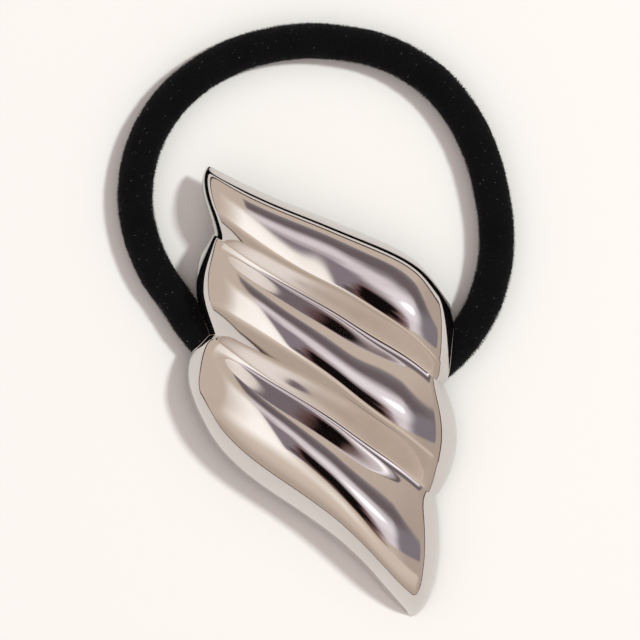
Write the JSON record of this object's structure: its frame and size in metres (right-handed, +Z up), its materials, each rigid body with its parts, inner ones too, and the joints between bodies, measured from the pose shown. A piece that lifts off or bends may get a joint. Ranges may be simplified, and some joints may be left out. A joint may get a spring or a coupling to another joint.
{
  "type": "hair tie",
  "caption": "Round black velvet elastic hair tie with a polished cast metal wing of overlapping feathers, held by a plain loop at its open back.",
  "frame": {"origin": "on the surface that the hair tie lies on, under the middle of the wing's box", "axes": "+X across the wing, +Y along it from the tip that rests on the surface to the raised tip inside the band's ring, +Z up from the surface"},
  "size_m": [0.0559, 0.0838, 0.0119],
  "materials": {
    "polished_metal": "mirror polished",
    "velvet": "ribbed velvet"
  },
  "bodies": {
    "root": {"wing_ornament": "polished_metal", "elastic_band": "velvet"}
  },
  "joints": []
}
